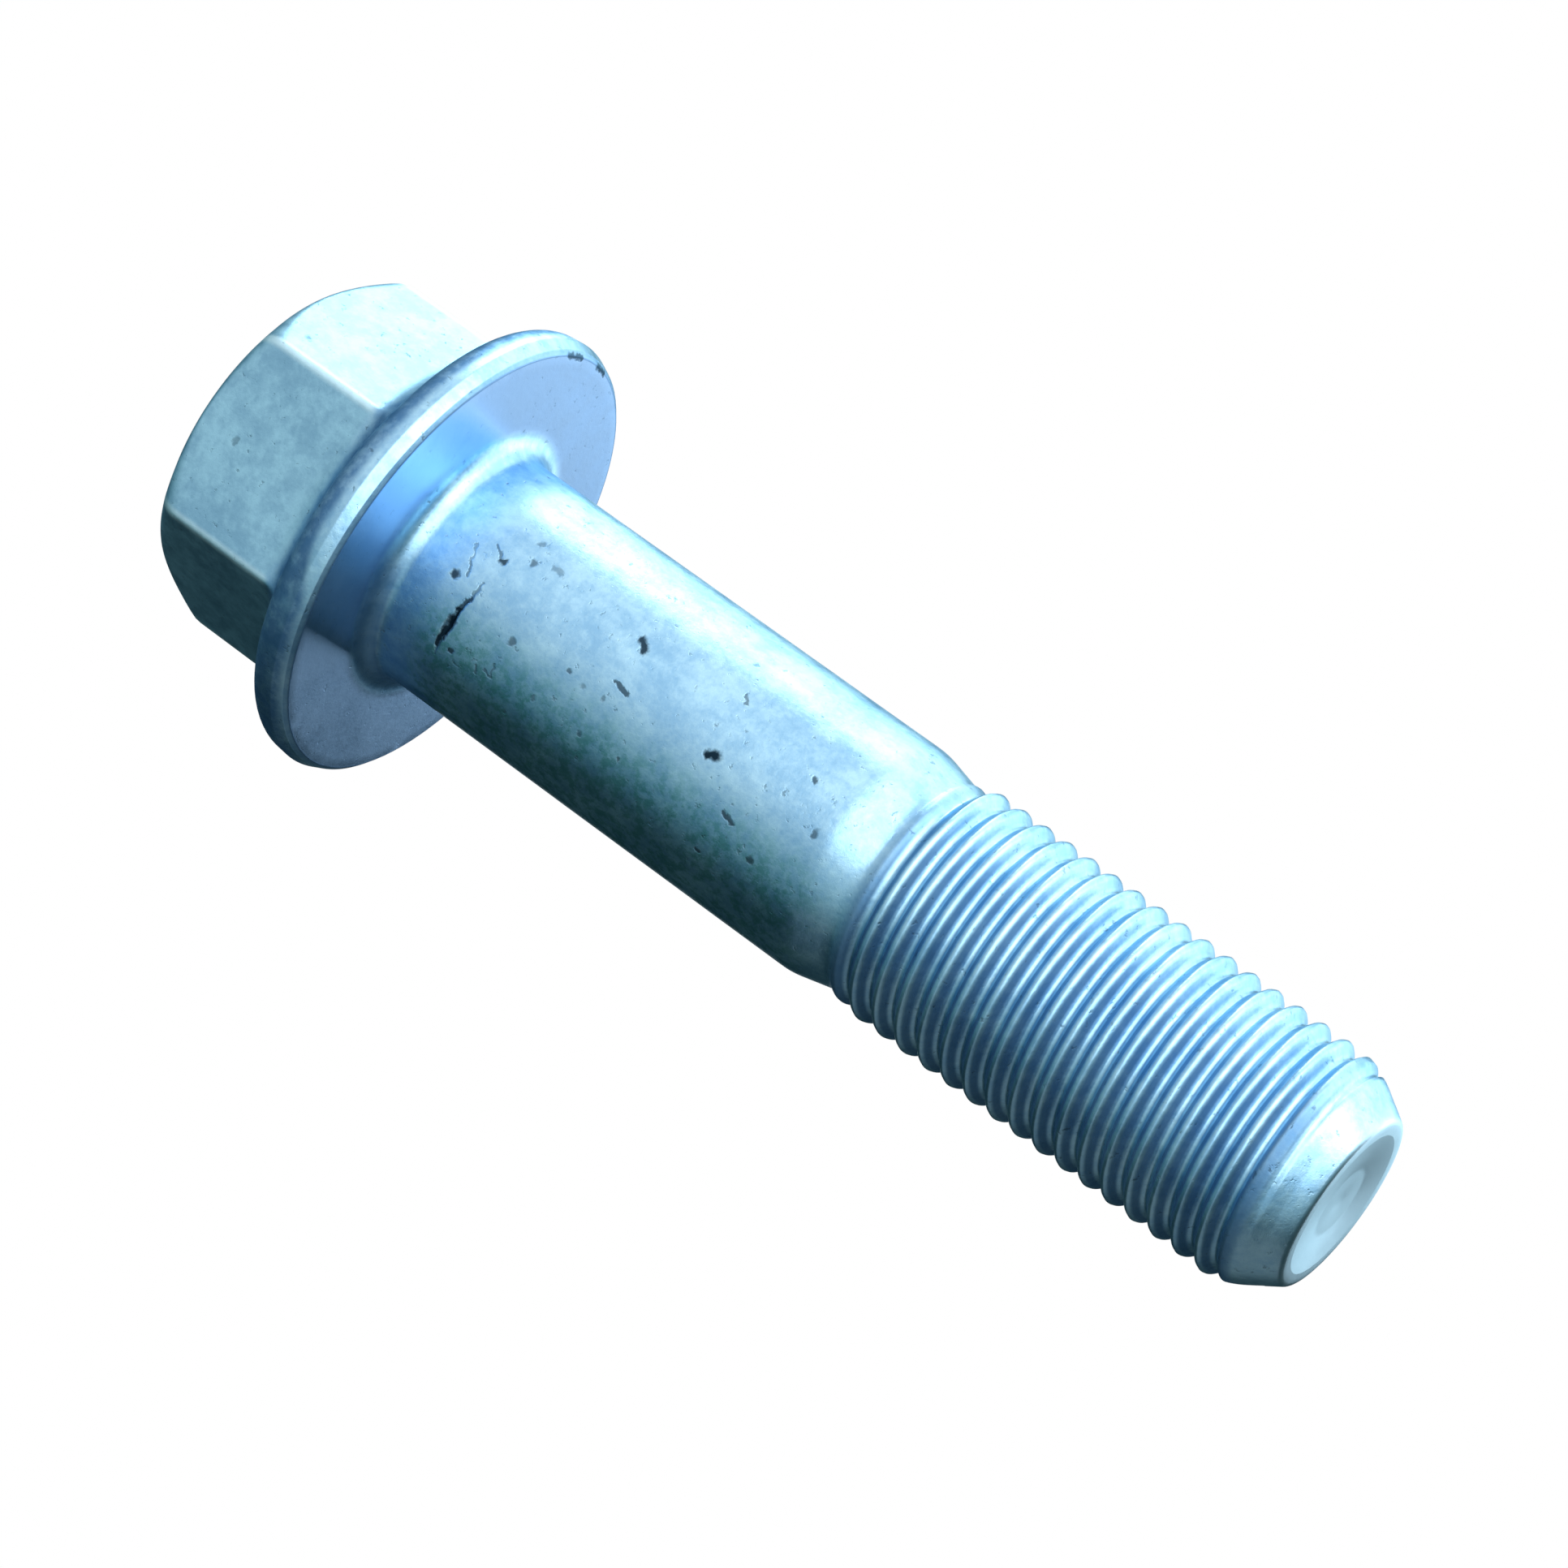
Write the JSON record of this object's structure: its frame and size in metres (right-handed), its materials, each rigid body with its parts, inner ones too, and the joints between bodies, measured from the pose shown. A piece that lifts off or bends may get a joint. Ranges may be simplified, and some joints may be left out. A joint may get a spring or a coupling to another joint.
{
  "type": "hexagon flange bolt",
  "caption": "Zinc-plated hexagon flange bolt with a plain shank, a fine right-hand thread and a chamfered end, for clamping parts without a separate washer.",
  "frame": {"origin": "centre of the head's top face, which the bolt stands on", "axes": "+Z along the bolt's axis from the head to the threaded end, +X through a corner of the hexagon"},
  "size_m": [0.0274, 0.0274, 0.0732],
  "materials": {
    "zinc_plate": "worn bright zinc plate with a blue cast, lightly pitted"
  },
  "bodies": {
    "root": {"flange_bolt": "zinc_plate"}
  },
  "joints": []
}
